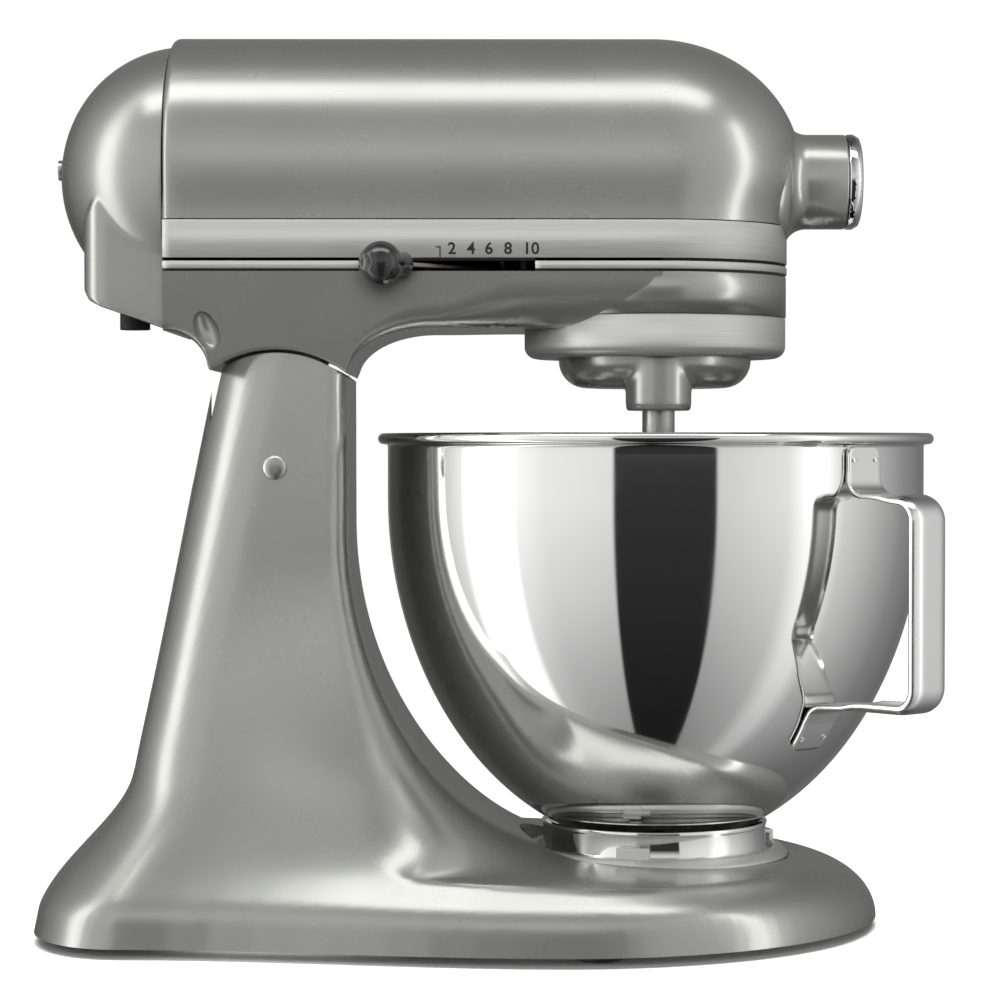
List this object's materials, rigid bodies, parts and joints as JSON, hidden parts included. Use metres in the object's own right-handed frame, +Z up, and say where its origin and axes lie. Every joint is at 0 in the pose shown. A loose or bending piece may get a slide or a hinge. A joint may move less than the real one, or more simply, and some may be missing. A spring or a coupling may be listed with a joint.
{
  "type": "stand mixer",
  "caption": "Tilt-head stand mixer: cast base and column, hinged motor head with speed lever and attachment hub, planetary beater, lift-off mirror bowl with a strap handle.",
  "frame": {"origin": "middle of the bounding box's underside, on the surface that the feet stand on", "axes": "+X to the front, where the attachment hub points; -Y the side of the speed lever; +Z up"},
  "size_m": [0.352, 0.222, 0.352],
  "materials": {
    "paint": "metallic grey-green enamel, clear-coated",
    "polished_steel": "mirror-polished stainless steel",
    "chrome": "bright chrome",
    "brushed_band": "brushed lengthways",
    "satin_steel": "satin",
    "zinc_steel": "plated steel",
    "grey_iron": "machined",
    "cast_aluminium": "as cast, burnished",
    "bronze": "bearing bronze",
    "copper": "copper",
    "carbon": "pressed carbon",
    "board": "circuit board",
    "dark_plastic": "moulded plastic",
    "gloss_black": "glossy moulded plastic",
    "rubber": "moulded rubber"
  },
  "bodies": {
    "stand": {"pedestal": "paint", "rubber_feet": "rubber", "foot_screws": "zinc_steel", "clamping_plate": "satin_steel", "clamp_screws": "zinc_steel", "height_screw": "zinc_steel", "hinge_pin": "satin_steel", "hinge_set_screw": "zinc_steel", "lock_catch_pin": "zinc_steel"},
    "bowl": {"bowl": "polished_steel", "bowl_foot": "polished_steel", "bowl_handle": "polished_steel", "handle_welds": "polished_steel"},
    "head": {"upper_housing": "paint", "lower_housing": "paint", "rear_cover": "paint", "rear_cover_screw": "zinc_steel", "cord_gland": "rubber", "trim_band": "brushed_band", "housing_screws": "zinc_steel", "lever_guide": "dark_plastic", "drip_ring": "brushed_band", "ring_gear": "grey_iron", "hub_sleeve": "zinc_steel", "motor_field": "grey_iron", "field_coils": "copper", "front_bearing_plate": "cast_aluminium", "rear_bearing_plate": "cast_aluminium", "motor_bearings": "bronze", "brush_holders": "dark_plastic", "carbon_brushes": "carbon", "speed_board": "board", "worm_bracket": "cast_aluminium", "centre_bush": "bronze", "speed_pivot": "zinc_steel"},
    "armature": {"armature_shaft": "zinc_steel", "armature_core": "grey_iron", "commutator": "copper", "cooling_fan": "dark_plastic"},
    "worm_wheel": {"worm_wheel": "bronze", "worm_wheel_shaft": "zinc_steel"},
    "planetary": {"centre_gear": "grey_iron", "centre_shaft": "zinc_steel", "planetary_hub": "paint", "beater_spring": "zinc_steel"},
    "hub_drive": {"hub_drive_gear": "grey_iron", "hub_drive_shaft": "zinc_steel"},
    "beater": {"beater_shaft": "zinc_steel", "beater_pin": "zinc_steel", "beater_pinion": "grey_iron", "beater": "cast_aluminium"},
    "speed_lever": {"speed_lever": "satin_steel", "speed_knob": "gloss_black"},
    "head_lock": {"lock_shaft": "satin_steel", "lock_knob": "gloss_black"},
    "hub_cap": {"hub_cap": "chrome"},
    "hub_thumb_screw": {"hub_thumb_screw": "dark_plastic"}
  },
  "joints": [
    {"name": "head_tilt", "type": "hinge", "parent": "stand", "child": "head", "pos_m": [-0.0826, 0, 0.182], "axis": [0, -1, 0], "range_deg": [0, 55]},
    {"name": "bowl_twist", "type": "hinge", "parent": "stand", "child": "bowl", "pos_m": [0.0655, 0, 0.03], "axis": [0, 0, 1], "range_deg": [0, 25]},
    {"name": "planetary_spin", "type": "hinge", "parent": "head", "child": "planetary", "pos_m": [0.0655, 0, 0.25], "axis": [0, 0, 1], "continuous": true},
    {"name": "beater_spin", "type": "hinge", "parent": "planetary", "child": "beater", "pos_m": [0.0655, -0.027, 0.22], "axis": [0, 0, 1], "continuous": true},
    {"name": "worm_wheel_spin", "type": "hinge", "parent": "head", "child": "worm_wheel", "pos_m": [0.03693, 0.028, 0.28], "axis": [0, 0, 1], "continuous": true},
    {"name": "armature_spin", "type": "hinge", "parent": "head", "child": "armature", "pos_m": [0, 0, 0.2985], "axis": [1, 0, 0], "continuous": true},
    {"name": "hub_drive_spin", "type": "hinge", "parent": "head", "child": "hub_drive", "pos_m": [0.1, 0, 0.2955], "axis": [1, 0, 0], "continuous": true},
    {"name": "speed_lever_turn", "type": "hinge", "parent": "head", "child": "speed_lever", "pos_m": [0.02, -0.004, 0.2591], "axis": [0, 0, 1], "range_deg": [0, 33]},
    {"name": "head_lock_turn", "type": "hinge", "parent": "head", "child": "head_lock", "pos_m": [-0.072, 0, 0.243], "axis": [0, -1, 0], "range_deg": [0, 20]},
    {"name": "hub_cap_slide", "type": "slide", "parent": "head", "child": "hub_cap", "axis": [1, 0, 0], "range_m": [0, 0.035]},
    {"name": "hub_thumb_screw_turn", "type": "hinge", "parent": "head", "child": "hub_thumb_screw", "pos_m": [0.13, 0, 0.2955], "axis": [0, 1, 0], "range_deg": [0, 720]}
  ],
  "couplings": [
    {"joint": "beater_spin", "follows": "planetary_spin", "ratio": -3.25},
    {"joint": "worm_wheel_spin", "follows": "planetary_spin", "ratio": -3},
    {"joint": "armature_spin", "follows": "planetary_spin", "ratio": 18},
    {"joint": "hub_drive_spin", "follows": "planetary_spin", "ratio": 2}
  ]
}
